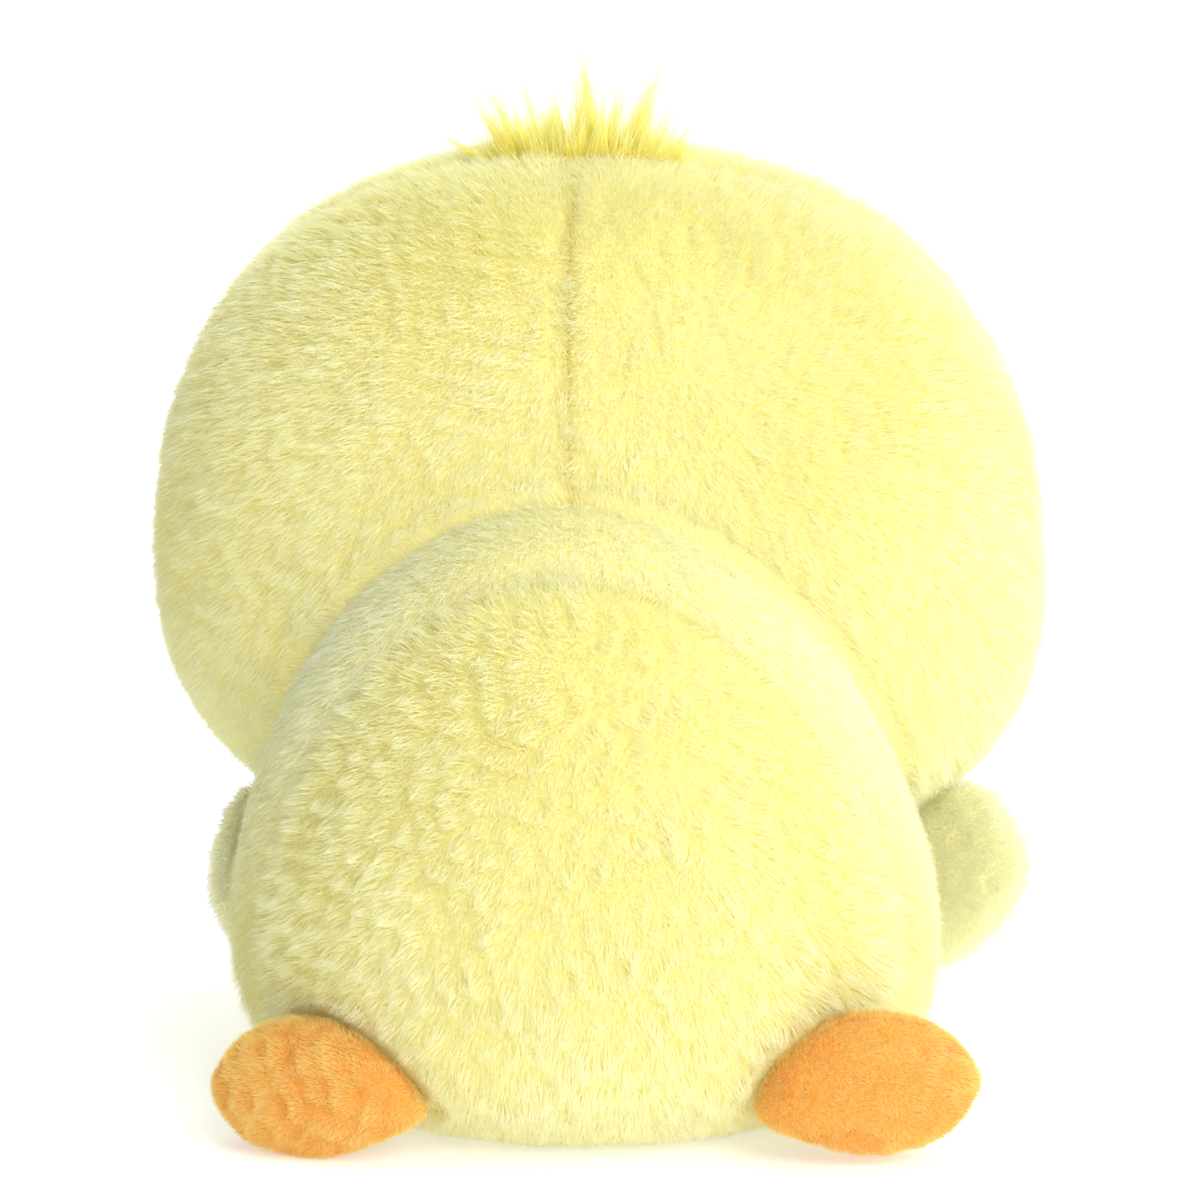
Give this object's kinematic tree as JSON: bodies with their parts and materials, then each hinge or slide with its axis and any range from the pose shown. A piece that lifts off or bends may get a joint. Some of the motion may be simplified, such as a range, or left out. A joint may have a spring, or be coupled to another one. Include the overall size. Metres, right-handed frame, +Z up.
{
  "type": "plush chick",
  "caption": "Stuffed plush chick that lies on its belly with its head up: loaf-shaped body, wide head, tuft of long pile on the crown, short wings and orange feet.",
  "frame": {"origin": "on the flat underside of the belly, below the widest part of the body", "axes": "+Z up, the face looks along -Y, the chick's left side is +X"},
  "size_m": [0.218, 0.2545, 0.2451],
  "materials": {
    "pale_pile": "pale yellow plush with a pile of about 6 mm",
    "tuft_pile": "long yellow pile",
    "orange_pile": "orange plush with a pile of about 2 mm",
    "fibre_filling": "loose white polyester fibre",
    "pouch_cloth": "plain woven lining cloth",
    "eye_plastic": "polished black",
    "washer_plastic": "moulded white"
  },
  "bodies": {
    "chick": {"head_left_panel": "pale_pile", "head_right_panel": "pale_pile", "face_panel": "pale_pile", "head_filling": "fibre_filling", "eye_left": "eye_plastic", "eye_right": "eye_plastic", "eye_washer_left": "washer_plastic", "eye_washer_right": "washer_plastic", "beak_upper": "orange_pile", "beak_lower": "orange_pile", "crown_tuft": "tuft_pile", "rump_panel": "pale_pile", "back_panel": "pale_pile", "belly_panel": "pale_pile", "pellet_pouch": "pouch_cloth", "body_filling": "fibre_filling"},
    "wing_left": {"wing_left_inner_ply": "pale_pile", "wing_left_outer_ply": "pale_pile", "wing_left_padding": "fibre_filling"},
    "wing_right": {"wing_right_inner_ply": "pale_pile", "wing_right_outer_ply": "pale_pile", "wing_right_padding": "fibre_filling"},
    "foot_left": {"foot_left_sole": "orange_pile", "foot_left_upper": "orange_pile", "foot_left_filling": "fibre_filling"},
    "foot_right": {"foot_right_sole": "orange_pile", "foot_right_upper": "orange_pile", "foot_right_filling": "fibre_filling"}
  },
  "joints": [
    {"name": "wing_left_swing", "type": "hinge", "parent": "chick", "child": "wing_left", "pos_m": [0.07665, -0.06185, 0.038], "axis": [0, 0, 1], "range_deg": [-50, 4], "stiffness_Nm_per_rad": 0.01},
    {"name": "wing_right_swing", "type": "hinge", "parent": "chick", "child": "wing_right", "pos_m": [-0.07033, -0.06185, 0.038], "axis": [0, 0, 1], "range_deg": [-32, 14], "stiffness_Nm_per_rad": 0.01},
    {"name": "foot_left_swing", "type": "hinge", "parent": "chick", "child": "foot_left", "pos_m": [0.037, 0.07001, 0.0172], "axis": [0, 0, 1], "range_deg": [0, 35], "stiffness_Nm_per_rad": 0.02},
    {"name": "foot_right_swing", "type": "hinge", "parent": "chick", "child": "foot_right", "pos_m": [-0.037, 0.06749, 0.0172], "axis": [0, 0, 1], "range_deg": [-35, 0], "stiffness_Nm_per_rad": 0.02}
  ]
}
